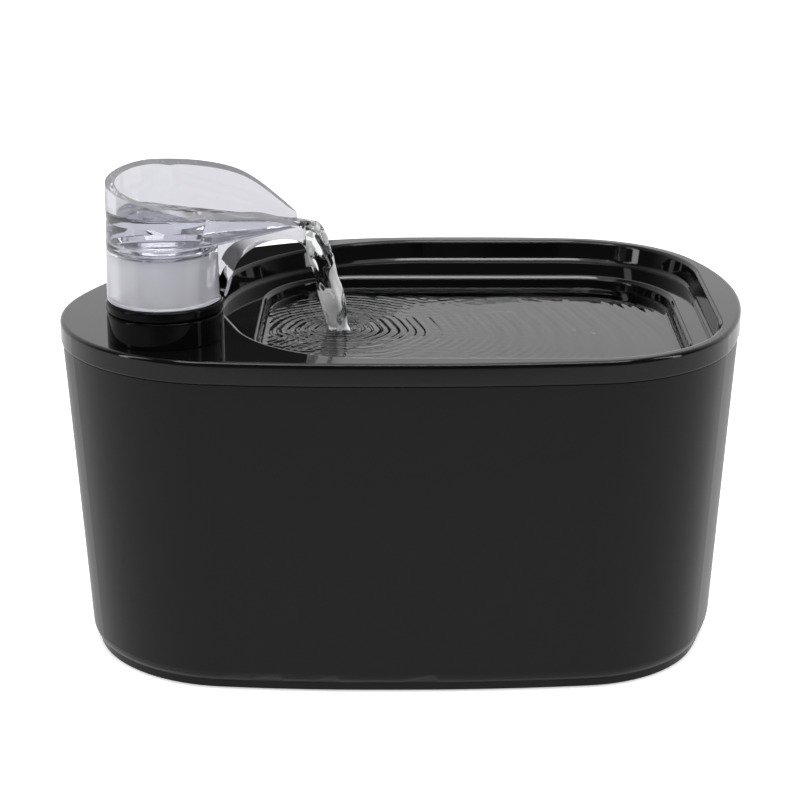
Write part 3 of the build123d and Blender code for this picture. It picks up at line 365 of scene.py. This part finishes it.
class FOUNTAIN_OT_dress_workings(bpy.types.Operator):
    """Pump, riser, seals and filter cartridge"""

    bl_idname = "fountain.dress_workings"
    bl_label = "Dress Workings"

    def execute(self, context):
        pump_black = new_material("pump_black", Base_Color=(0.022, 0.022, 0.024), Roughness=0.5)
        grain(pump_black, scale=1800, strength=0.2, distance=0.06 * MM)
        dress(pump_black, "pump_body", "pump_cover", "intake_cap", "collar_nut", "filter_frame")
        white = new_material("white_plastic", Base_Color=(0.78, 0.78, 0.76), Roughness=0.35)
        grain(white, scale=900, strength=0.08, distance=0.05 * MM)
        dress(white, "impeller_wheel", "flow_slider")
        grey = new_material("grey_rubber", Base_Color=(0.32, 0.32, 0.33), Roughness=0.6)
        grain(grey, scale=1500, strength=0.2, distance=0.05 * MM)
        dress(grey, "collar_gasket", "spigot_seal", "riser_seal", "suction_cups")
        tube = new_material("clear_tube", Base_Color=(0.9, 0.92, 0.94), Roughness=0.08, IOR=1.5,
                            Transmission_Weight=1.0)
        grain(tube, scale=400, strength=0.03, distance=0.05 * MM)
        dress(tube, "riser_tube")
        ceramic = new_material("white_ceramic", Base_Color=(0.86, 0.85, 0.82))
        patchy_roughness(ceramic, scale=300, low=0.15, high=0.3)
        dress(ceramic, "impeller_shaft")
        ferrite = new_material("ferrite", Base_Color=(0.06, 0.06, 0.065))
        patchy_roughness(ferrite, scale=200, low=0.3, high=0.5)
        dress(ferrite, "rotor_magnet")
        dress(speckle("grey_foam", 0.95, 900, (0.03, 0.03, 0.03), (0.16, 0.16, 0.16)), "intake_foam")
        dress(speckle("white_felt", 0.95, 1400, (0.7, 0.7, 0.68), (0.86, 0.86, 0.84)), "filter_felt")
        dress(speckle("carbon", 0.8, 700, (0.012, 0.012, 0.012), (0.07, 0.07, 0.07)), "filter_media")
        return {"FINISHED"}


# the cup's zones, each from where it ends to where it holds in full: heights above the cup's lower edge,
# reaches from its axis, and the upward part of the face's direction
FOOT_HEIGHTS = (17.6 * MM, 15.0 * MM)
FOOT_INNER, FOOT_OUTER = (16.8 * MM, 17.0 * MM), (21.6 * MM, 21.3 * MM)
HOLLOW_HEIGHTS, HOLLOW_REACH = (17.6 * MM, 17.2 * MM), (17.0 * MM, 16.8 * MM)
RIM_HEIGHTS, RIM_UPWARD = (21.2 * MM, 21.8 * MM), (0.25, 0.45)
RIM_SHARE, HOLLOW_PAINTED_LIGHT_SHARE = 0.25, 0.8     # how far the rim goes towards its frost, and the hollow towards its milky white, which is painted brightness


class FOUNTAIN_OT_dress_cup(bpy.types.Operator):
    """Clear beaked cup"""

    bl_idname = "fountain.dress_cup"
    bl_label = "Dress Cup"

    def execute(self, context):
        clear = new_material("clear_plastic", Base_Color=tuple(context.scene.fountain_finishes.cup_tint),
                             Roughness=0.0, IOR=1.49, Transmission_Weight=1.0)
        grain(clear, scale=60, strength=0.02, distance=0.2 * MM)
        self.zones(clear)
        dress(clear, "spout_cup")
        return {"FINISHED"}

    def zones(self, material):
        """Three areas differ: the foot of the wall has a paler tint, painted brightness for light refracted
        through the thick wall; the cut rim, where the face looks up above the channel, is lightly frosted;
        and the hollow round the socket, near the axis and below the bowl, is milky white, painted brightness
        for the same light."""
        tree = material.node_tree
        place = add_node(tree, "ShaderNodeMapping",
                         {"Vector": object_place(tree), "Location": (-SPOUT_X, -SPOUT_Y, -CUP_Z)}).outputs[0]
        height = add_node(tree, "ShaderNodeSeparateXYZ", {0: place}).outputs["Z"]
        flat = add_node(tree, "ShaderNodeVectorMath", {0: place, 1: (1, 1, 0)}, operation="MULTIPLY")
        length = add_node(tree, "ShaderNodeVectorMath", {0: flat.outputs[0]}, operation="LENGTH")
        reach = length.outputs["Value"]
        facing = add_node(tree, "ShaderNodeNewGeometry", {}).outputs["True Normal"]
        upward = add_node(tree, "ShaderNodeSeparateXYZ", {0: facing}).outputs["Z"]
        foot = inside(tree, 1.0, (height, FOOT_HEIGHTS), (reach, FOOT_INNER), (reach, FOOT_OUTER))
        rim = inside(tree, RIM_SHARE, (height, RIM_HEIGHTS), (upward, RIM_UPWARD))
        hollow = inside(tree, HOLLOW_PAINTED_LIGHT_SHARE, (height, HOLLOW_HEIGHTS), (reach, HOLLOW_REACH))
        # paler tint on the foot: painted brightness for light refracted through the thick lower wall
        vary(material, foot, Base_Color=(0.95, 0.95, 1.0))
        vary(material, rim, Roughness=0.35, Transmission_Weight=0.3)
        # milky white on the hollow: painted brightness for light refracted through the thick lower wall
        vary(material, hollow, Base_Color=(0.97, 0.97, 1.0), Roughness=0.15, Transmission_Weight=0.1)


# ---------------------------------------------------------------- pool
POOL_LEFT, POOL_RIGHT = -55.0 * MM, 106.5 * MM
POOL_FRONT, POOL_BACK = -74.0 * MM, 58.0 * MM
# corner radii: front left, front right, back right, back left
POOL_RADII = (45.0 * MM, 38.0 * MM, 36.0 * MM, 36.0 * MM)
POOL_SLOPE = tan(radians(9.0))      # the walls lean in towards the floor
POOL_LIMIT = 250 * MM       # farther than any wall
POOL_RINGS, POOL_SPOKES = 230, 300
POOL_SHADE_TINT, POOL_INDEX = (0.45, 0.46, 0.47), 1.42        # grey tint, painted shade that darkens the pool; the higher index makes it glossier than clear water
FLOOR_BEARING = 0.05 * MM   # the pool reaches this far into its floor
CALM_BAND = 2.5 * MM        # the ripples die out over this distance from the walls
CREEP = 0.5 * MM            # the water stands this much higher against the walls
DENT_DEPTH = 2.2            # dent under the stream, in ring heights
DENT_R = 4.0 * MM
LONG_FADE = 120 * MM        # over which the ripples' faint tails die out


def pool_distance(x, y, shrink):
    """Signed distance to the pool's rounded outline, which is a box with its own radius in each quarter: the
    distance to the box shrunk by the radius, less the radius."""
    middle_x, middle_y = (POOL_LEFT + POOL_RIGHT) / 2, (POOL_FRONT + POOL_BACK) / 2
    front_left, front_right, back_right, back_left = POOL_RADII
    radius = np.where(x > middle_x, np.where(y > middle_y, back_right, front_right),
                      np.where(y > middle_y, back_left, front_left))
    out_x = np.abs(x - middle_x) - (POOL_RIGHT - POOL_LEFT) / 2 + radius
    out_y = np.abs(y - middle_y) - (POOL_BACK - POOL_FRONT) / 2 + radius
    within = np.minimum(np.maximum(out_x, out_y), 0)
    return within + np.hypot(np.maximum(out_x, 0), np.maximum(out_y, 0)) - radius + shrink


def pool_reach(angles, shrink):
    """Distance from the landing point to the pool's outline in each direction."""
    return farthest(angles, POOL_LIMIT,
                    lambda x, y: pool_distance(LANDING_X + x, LANDING_Y + y, shrink) < 0)


def ripple_height(x, y, spacing, height):
    """Rings round the landing point plus weak echoes off the walls: height = the sum over the sources of
    share * (exp(-r / fade) + tail * exp(-r / long fade)) * sin(2 pi r / wave), with r measured from the
    source and swollen by a few percent in some directions, so that the rings aren't quite round. A round
    dent under the stream is taken off: dent depth * exp(-(r / dent radius) ^ 2)."""
    sources = (
        # x, y, share, wave, fade, tail
        (LANDING_X, LANDING_Y, 1.0, spacing, 13 * MM, 0.10),
        (LANDING_X + 1.2 * MM, LANDING_Y - 1 * MM, 0.25, spacing * 0.61, 16 * MM, 0.05),
        (2 * POOL_LEFT - LANDING_X, LANDING_Y + 6 * MM, 0.10, spacing * 0.9, 60 * MM, 0.05),
        (LANDING_X + 4 * MM, 2 * POOL_FRONT - LANDING_Y, 0.035, spacing * 1.4, 150 * MM, 0.0),
        (LANDING_X, 2 * POOL_BACK - LANDING_Y, 0.05, spacing * 1.2, 150 * MM, 0.0),
        (LANDING_X - 30 * MM, LANDING_Y + 4 * MM, 0.10, spacing * 2.3, 200 * MM, 0.0),
    )
    total = np.zeros_like(x)
    for source_x, source_y, share, wave, fade, tail in sources:
        turn = np.arctan2(y - source_y, x - source_x)
        swollen = 1 + 0.035 * np.sin(3 * turn + 0.6) + 0.02 * np.sin(7 * turn)
        r = np.hypot(x - source_x, y - source_y) * swollen
        strength = share * height * (np.exp(-r / fade) + tail * np.exp(-r / LONG_FADE))
        total += strength * np.sin(2 * pi * r / wave)
    r = np.hypot(x - LANDING_X, y - LANDING_Y)
    return total - height * DENT_DEPTH * np.exp(-(r / DENT_R) ** 2)


class FOUNTAIN_OT_add_pool(bpy.types.Operator):
    """Rippled water in the basin"""

    bl_idname = "fountain.add_pool"
    bl_label = "Add Pool"

    def execute(self, context):
        water = context.scene.fountain_water
        level = DECK_Z - water.pool_drop
        shrink = (LEDGE_Z - level) * POOL_SLOPE
        angles = np.linspace(0, 2 * pi, POOL_SPOKES, endpoint=False)
        reach = np.linspace(0, 1, POOL_RINGS)[:, None] * pool_reach(angles, shrink)
        x, y = LANDING_X + reach * np.cos(angles), LANDING_Y + reach * np.sin(angles)
        moving = np.clip(-pool_distance(x, y, shrink) / CALM_BAND, 0, 1)
        ripples = ripple_height(x, y, water.ring_spacing, water.ring_height) * moving
        surface = layer(x, y, level + ripples + CREEP * (1 - moving) ** 3)
        # it bears on the walls and floor, so nothing shines up from a gap below it
        depth = level - POOL_FLOOR_Z + FLOOR_BEARING
        reach = np.array([[1.0], [0.0]]) * pool_reach(angles, shrink + depth * POOL_SLOPE)
        floor = layer(LANDING_X + reach * np.cos(angles), LANDING_Y + reach * np.sin(angles), level - depth)
        # the pool's grey tint is painted shade
        add_water("pool_water", np.concatenate([surface, floor]), "lid",
                  clear_water("pool_water", POOL_SHADE_TINT, POOL_INDEX))
        return {"FINISHED"}


# ---------------------------------------------------------------- water in the cup
# the cup's hollow, in its own frame: s along the beak, t across it, z above the cup's lower edge
BOWL_FLOOR_Z, BOWL_FLOOR_R = 18.4 * MM, 13.5 * MM
BOWL_SHOULDER_Z, BOWL_MOUTH_R = 29.0 * MM, 16.4 * MM
CHANNEL_Z = 20.6 * MM
CHANNEL_START, CHANNEL_END = 10.7 * MM, 51.7 * MM       # the channel narrows between these
CHANNEL_TIP_R = 3.2 * MM
CHANNEL_LIMIT = 70 * MM                                 # farther than the beak's tip
TIP_S = 57.7 * MM
BEARING = 0.12 * MM                                     # water reaches this far into the walls it wets
CUP_SPOKES, CUP_RINGS, CUP_WALL_RINGS = 240, 60, 8

SLOPE_START = -4 * MM                                   # from here the surface runs down to the tip
TIP_SHEET = 1.3 * MM                                    # depth of the water at the tip
DOME_H, DOME_R = 0.7 * MM, 5 * MM                       # the jet's dome over the bore
JET_RING_H, JET_RING_WAVE, JET_RING_FADE = 0.12 * MM, 3.6 * MM, 14 * MM
CHOP_LOW, CHOP_GAIN = 0.12 * MM, 0.4 * MM               # chop in the bowl, and what it gains further on
CHOP_START, CHOP_GROWTH, CHOP_CALM = 4 * MM, 16 * MM, 20 * MM
CHOP_LENGTH, CHOP_WIDTH, CHOP_BEND = 2.1 * MM, 3 * MM, 2.2


def cup_point(s, t, z):
    """A point of the cup's frame in the object's frame."""
    return layer(SPOUT_X + s * np.cos(BEAK) - t * np.sin(BEAK),
                 SPOUT_Y + s * np.sin(BEAK) + t * np.cos(BEAK), CUP_Z + z)


def in_channel(s, t):
    """True in the channel: a strip whose half width falls evenly from the bowl's radius to the tip's, with
    a round end in the bowl and a straight one at the tip."""
    t = np.abs(t)
    share = np.clip((s - CHANNEL_START) / (CHANNEL_END - CHANNEL_START), 0, 1)
    half = BOWL_FLOOR_R + (CHANNEL_TIP_R - BOWL_FLOOR_R) * share
    return (np.where(s < CHANNEL_START, np.hypot(s - CHANNEL_START, t), t) < half) & (s < TIP_S)


def cup_surface(s, level):
    """Level in the bowl, then an even slope down the channel to a thin sheet at the tip."""
    share = np.clip((s - SLOPE_START) / (TIP_S - SLOPE_START), 0, 1)
    return level - (level - CHANNEL_Z - TIP_SHEET) * share


def cup_swell(s, t):
    """The jet's low dome, height * exp(-(r / radius) ^ 2), short rings round it that fade with r, and a chop
    along s, bent across t, that grows along the channel and calms down at the tip."""
    r = np.hypot(s, t)
    dome = DOME_H * np.exp(-(r / DOME_R) ** 2)
    rings = JET_RING_H * np.sin(2 * pi * r / JET_RING_WAVE) * np.exp(-r / JET_RING_FADE)
    gain = np.clip((s - CHOP_START) / CHOP_GROWTH, 0, 1) * np.clip((TIP_S - s) / CHOP_CALM, 0, 1)
    chop = np.sin(s / CHOP_LENGTH + CHOP_BEND * np.sin(t / CHOP_WIDTH))
    return dome + rings + (CHOP_LOW + CHOP_GAIN * gain) * chop


class FOUNTAIN_OT_add_cup_water(bpy.types.Operator):
    """Water welling up in the cup and running down the channel"""

    bl_idname = "fountain.add_cup_water"
    bl_label = "Add Cup Water"

    def execute(self, context):
        level = context.scene.fountain_water.cup_level
        angles = np.linspace(-pi, pi, CUP_SPOKES, endpoint=False)
        ahead, aside = np.cos(angles), np.sin(angles)
        channel = farthest(angles, CHANNEL_LIMIT, in_channel)
        edge = np.maximum(BOWL_MOUTH_R, channel) + BEARING
        layers = []
        for share in np.linspace(0, 1, CUP_RINGS):
            s, t = share * edge * ahead, share * edge * aside
            layers.append(cup_point(s, t, cup_surface(s, level) + cup_swell(s, t) * (1 - share ** 6)))
        # down the bowl's wall, which narrows below its shoulder
        top, low = cup_surface(edge * ahead, level), CHANNEL_Z - BEARING
        for share in np.linspace(0, 1, CUP_WALL_RINGS)[1:]:
            z = top + (low - top) * share
            risen = np.clip((z - BOWL_FLOOR_Z) / (BOWL_SHOULDER_Z - BOWL_FLOOR_Z), 0, 1)
            bowl = BOWL_FLOOR_R + (BOWL_MOUTH_R - BOWL_FLOOR_R) * risen
            reach = np.maximum(bowl, channel) + BEARING
            layers.append(cup_point(reach * ahead, reach * aside, z))
        # in along the channel's floor, down to the bowl's floor and shut
        floor = BOWL_FLOOR_Z - BEARING
        for reach, z in ((BOWL_FLOOR_R + BEARING, low), (BOWL_FLOOR_R + BEARING, floor), (0, floor)):
            layers.append(cup_point(reach * ahead, reach * aside, z))
        add_water("cup_water", np.stack(layers), "spout", clear_water("cup_water"))
        return {"FINISHED"}


# ---------------------------------------------------------------- stream
STREAM_SIDES, STREAM_STEPS = 56, 180
LIP_BACK, LIP_RISE = 1.5 * MM, 0.9 * MM         # it starts behind the tip and above the channel's floor
POOL_ENTRY = 0.6 * MM                           # it ends this far below the pool's level
FALL_EVEN = 0.2                                 # share of the drop that goes evenly with the way out
LIP_HALF_WIDTH, LIP_HALF_DEPTH = 3.3 * MM, 0.7 * MM
FLATNESS = 0.62                                 # the rope's depth over its width
GATHER_END = 0.22                               # part of the way over which the sheet becomes a rope
NARROW_EVEN, NARROW_LATE, LATE_START = 0.04, 0.26, 0.82         # it narrows most over the last part
SPLAY, SPLAY_REACH = 0.25, 0.018                # it widens where it meets the pool, over this part of the way
TWO_FOLD, THREE_FOLD, FIVE_FOLD = 0.07, 0.10, 0.06      # depths of the lobes round the rope
TWIST, TWIST_POWER = 1.1 * pi, 1.3              # turn of the two lobes on the way down, and its growth
THREE_TURN, FIVE_TURN = 7, -16                  # turn of the three and the five, in radians of their waves
LOBE_SCALE, LOBE_STRETCH = 150, (1.0, 1.0, 0.4)         # of its milky lobes, part aeration and part painted highlight


class FOUNTAIN_OT_add_stream(bpy.types.Operator):
    """Stream falling from the beak"""

    bl_idname = "fountain.add_stream"
    bl_label = "Add Stream"

    def execute(self, context):
        water = context.scene.fountain_water
        tip = cup_point(TIP_S - LIP_BACK, 0.0, CHANNEL_Z + LIP_RISE)
        run_x, run_y = LANDING_X - tip[0], LANDING_Y - tip[1]
        run = np.hypot(run_x, run_y)
        ahead_x, ahead_y = run_x / run, run_y / run
        drop = tip[2] - (DECK_Z - water.pool_drop) + POOL_ENTRY
        t = np.linspace(0, 1, STREAM_STEPS)[:, None]
        # the path leaves almost level and falls as a thrown jet does: even * t + (1 - even) * t ^ 2
        z = tip[2] - drop * (FALL_EVEN * t + (1 - FALL_EVEN) * t ** 2)
        slope = drop * (FALL_EVEN + 2 * (1 - FALL_EVEN) * t) / run
        lean = 1 / np.sqrt(1 + slope ** 2)
        # a thin sheet at the lip swells into a rope, then narrows as it speeds up
        gather = np.clip(t / GATHER_END, 0, 1)
        gather = gather * gather * (3 - 2 * gather)
        narrow = 1 - NARROW_EVEN * t - NARROW_LATE * np.clip((t - LATE_START) / (1 - LATE_START), 0, 1)
        girth = narrow * (1 + SPLAY * np.exp(-((1 - t) / SPLAY_REACH) ** 2))
        width = LIP_HALF_WIDTH + (water.stream_radius - LIP_HALF_WIDTH) * gather
        depth = LIP_HALF_DEPTH + (FLATNESS * water.stream_radius - LIP_HALF_DEPTH) * gather
        # each section is an ellipse square to the path, swollen by two, three and five lobes that turn
        around = np.linspace(0, 2 * pi, STREAM_SIDES, endpoint=False)
        fold = 1 + gather * (TWO_FOLD * np.cos(2 * (around - TWIST * t ** TWIST_POWER))
                             + THREE_FOLD * np.sin(3 * around + THREE_TURN * t)
                             + FIVE_FOLD * np.sin(5 * around + FIVE_TURN * t))
        across = width * girth * fold * np.cos(around)
        lift = depth * girth * fold * np.sin(around)
        out = run * t + lift * slope * lean
        rings = layer(tip[0] + out * ahead_x + across * ahead_y, tip[1] + out * ahead_y - across * ahead_x,
                      z + lift * lean)
        head, foot = (np.broadcast_to(end.mean(axis=0), end.shape)[None] for end in (rings[0], rings[-1]))
        material = clear_water("stream_water")
        aerate_with_painted_highlight(material, LOBE_SCALE, LOBE_STRETCH)
        add_water("stream", np.concatenate([head, rings, foot]), "spout", material)
        return {"FINISHED"}


# ---------------------------------------------------------------- studio
FLOOR_REACH = 8.0                   # metres from the middle to the floor's sides
FLOOR_GLOW = 0.45                   # added to the floor where the camera sees it
FLOOR_DIM, FLOOR_LEAST = (-0.56, -0.47), 0.1    # gloss sees the floor dim in front of this strip of y
BEHIND, FRONT_GLOW = (-0.1, 0.7), 0.06          # gloss sees the room dim in front, up to this span of y
CARD_LEFT, CARD_RIGHT = (-0.115, -0.135), (-0.045, -0.028)      # the dark card's edges, as x over y
CARD_TOP, CARD_GLOW = (0.30, 0.42), 0.03        # its upper edge, as z, and how much of the glow it keeps
SIDES = (0.10, 0.50)                # clear pieces see the room dim sideways, over this span of x squared
MIDDLE_GLOW, SIDES_GLOW = 0.95, 0.12
ROOM = 0.7                          # brightness of the room for matt pieces
LAMPS = (
    # name, place, size, watts, aim
    ("top_softbox", (0.0, 0.1, 1.5), (1.2, 0.8), 5.0, (0, 0, 0.1)),
    ("edge_strip", (0.0, -0.29, 1.26), (1.2, 0.2), 10.0, (0, 0.06, 0.12)),
    ("left_strip", (-1.0, -0.35, 0.55), (0.14, 1.0), 3.0, (0, 0, 0.1)),
    ("right_strip", (1.0, -0.35, 0.55), (0.14, 1.0), 3.0, (0, 0, 0.1)),
)
SENSOR_WIDTH, LENS = 36, 98.1       # millimetres
SHIFT = -0.0055                     # sideways, as a share of the sensor's width
CLIP_NEAR, CLIP_FAR = 0.05, 50


class FOUNTAIN_OT_set_studio(bpy.types.Operator):
    """Floor, backdrop light, lamps and camera"""

    bl_idname = "fountain.set_studio"
    bl_label = "Set Studio"

    def execute(self, context):
        studio = context.scene.fountain_studio
        self.floor(context, studio)
        self.world(context)
        self.lamps(context)
        self.camera(context, studio)
        context.scene.view_settings.view_transform = "Standard"
        return {"FINISHED"}

    def floor(self, context, studio):
        """A wide matte floor, lifted to white where the camera sees it. Clear pieces see it white, and gloss
        sees it white behind and dim in front."""
        mesh = bpy.data.meshes.new("floor")
        corners = [(x * FLOOR_REACH, y * FLOOR_REACH, 0) for x, y in ((-1, -1), (1, -1), (1, 1), (-1, 1))]
        mesh.from_pydata(corners, [], [(0, 1, 2, 3)])
        floor = bpy.data.objects.new("floor", mesh)
        context.scene.collection.objects.link(floor)
        material = new_material("floor", Base_Color=tuple(studio.floor_colour), Roughness=0.9,
                                Specular_IOR_Level=0.0, Emission_Color=(1.0, 1.0, 1.0))
        tree = material.node_tree
        rays = add_node(tree, "ShaderNodeLightPath", {}).outputs
        feed(material, maths(tree, "MULTIPLY", rays["Is Camera Ray"], FLOOR_GLOW), "Emission Strength")
        y = add_node(tree, "ShaderNodeSeparateXYZ", {0: object_place(tree)}).outputs["Y"]
        dimmed = ramp(tree, y, *FLOOR_DIM, low=FLOOR_LEAST)
        strength = maths(tree, "MAXIMUM", dimmed, rays["Is Transmission Ray"])
        white = add_node(tree, "ShaderNodeEmission", {"Color": WHITE, "Strength": strength}).outputs[0]
        either = maths(tree, "MAXIMUM", rays["Is Glossy Ray"], rays["Is Transmission Ray"])
        surface = choose(tree, either, tree.nodes["Principled BSDF"].outputs[0], white)
        tree.links.new(surface, tree.nodes["Material Output"].inputs["Surface"])
        mesh.materials.append(material)

    def world(self, context):
        """White where the camera looks. Clear pieces see white with dim sides, which draws their outlines.
        Gloss sees white behind the object, with a narrow dark card at the left, and dark in front."""
        world = context.scene.world or bpy.data.worlds.new("World")
        context.scene.world = world
        world.use_nodes = True
        tree = world.node_tree
        tree.nodes.clear()
        rays = add_node(tree, "ShaderNodeLightPath", {}).outputs
        direction = add_node(tree, "ShaderNodeTexCoord", {}).outputs["Generated"]
        x, y, z = add_node(tree, "ShaderNodeSeparateXYZ", {0: direction}).outputs

        def smooth(source, span, low=0.0, high=1.0):
            """A smooth ramp over a span."""
            return ramp(tree, source, *span, low, high, "SMOOTHSTEP")

        def light(strength):
            """A white background of a fixed or linked strength."""
            return add_node(tree, "ShaderNodeBackground", {"Color": WHITE, "Strength": strength}).outputs[0]

        bearing = maths(tree, "DIVIDE", x, y)
        past_card = maths(tree, "MAXIMUM", smooth(bearing, CARD_LEFT), smooth(bearing, CARD_RIGHT))
        past_card = maths(tree, "MAXIMUM", past_card, smooth(z, CARD_TOP))
        dimmed = smooth(past_card, (0.0, 1.0), CARD_GLOW)
        glow = maths(tree, "MULTIPLY", smooth(y, BEHIND, FRONT_GLOW), dimmed)
        sides = smooth(maths(tree, "MULTIPLY", x, x), SIDES, MIDDLE_GLOW, SIDES_GLOW)
        seen = choose(tree, rays["Is Glossy Ray"], light(ROOM), light(glow))
        seen = choose(tree, rays["Is Transmission Ray"], seen, light(sides))
        seen = choose(tree, rays["Is Camera Ray"], seen, light(1.0))
        add_node(tree, "ShaderNodeOutputWorld", {"Surface": seen})

    def lamps(self, context):
        """A softbox and a strip above, and two upright strips, left and right."""
        for name, place, size, power, aim in LAMPS:
            lamp = bpy.data.lights.new(name, "AREA")
            lamp.shape = "RECTANGLE"
            lamp.size, lamp.size_y = size
            lamp.energy = power
            holder = bpy.data.objects.new(name, lamp)
            context.scene.collection.objects.link(holder)
            holder.location = place
            holder.rotation_mode = "QUATERNION"
            holder.rotation_quaternion = (Vector(aim) - Vector(place)).to_track_quat("-Z", "Y")

    def camera(self, context, studio):
        """The camera in front, tilted down, with a small sideways shift."""
        camera = bpy.data.objects.new("camera", bpy.data.cameras.new("camera"))
        context.scene.collection.objects.link(camera)
        camera.location = (0, -studio.camera_back, DECK_Z + studio.camera_rise)
        camera.rotation_euler = (pi / 2 - studio.camera_pitch, 0, 0)
        camera.data.sensor_width = SENSOR_WIDTH
        camera.data.lens = LENS
        camera.data.shift_x = SHIFT
        camera.data.clip_start, camera.data.clip_end = CLIP_NEAR, CLIP_FAR
        context.scene.camera = camera


# ---------------------------------------------------------------- panel and registration
OPERATORS = (
    FOUNTAIN_OT_dress_tank,
    FOUNTAIN_OT_dress_tray,
    FOUNTAIN_OT_dress_workings,
    FOUNTAIN_OT_dress_cup,
    FOUNTAIN_OT_add_pool,
    FOUNTAIN_OT_add_cup_water,
    FOUNTAIN_OT_add_stream,
    FOUNTAIN_OT_set_studio,
)
SETTINGS = (
    ("fountain_finishes", FountainFinishes),
    ("fountain_water", FountainWater),
    ("fountain_studio", FountainStudio),
)


class FOUNTAIN_PT_panel(bpy.types.Panel):
    """Settings and steps of the fountain"""

    bl_label = "Pet Water Fountain"
    bl_idname = "FOUNTAIN_PT_panel"
    bl_space_type = "VIEW_3D"
    bl_region_type = "UI"
    bl_category = "Fountain"

    def draw(self, context):
        for name, group in SETTINGS:
            box = self.layout.box()
            for field in group.__annotations__:
                box.prop(getattr(context.scene, name), field)
        for operator in OPERATORS:
            self.layout.operator(operator.bl_idname)


def register():
    """Registers the settings, the steps and the panel."""
    for name, group in SETTINGS:
        bpy.utils.register_class(group)
        setattr(bpy.types.Scene, name, bpy.props.PointerProperty(type=group))
    for operator in OPERATORS:
        bpy.utils.register_class(operator)
    bpy.utils.register_class(FOUNTAIN_PT_panel)


def unregister():
    """Takes them away again, in the opposite order."""
    bpy.utils.unregister_class(FOUNTAIN_PT_panel)
    for operator in reversed(OPERATORS):
        bpy.utils.unregister_class(operator)
    for name, group in reversed(SETTINGS):
        delattr(bpy.types.Scene, name)
        bpy.utils.unregister_class(group)


def main():
    """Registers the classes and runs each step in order."""
    register()
    for operator in OPERATORS:
        family, step = operator.bl_idname.split(".")
        if getattr(getattr(bpy.ops, family), step)() != {"FINISHED"}:
            raise RuntimeError(f"{operator.bl_label} did not finish")


if __name__ == "__main__":
    main()
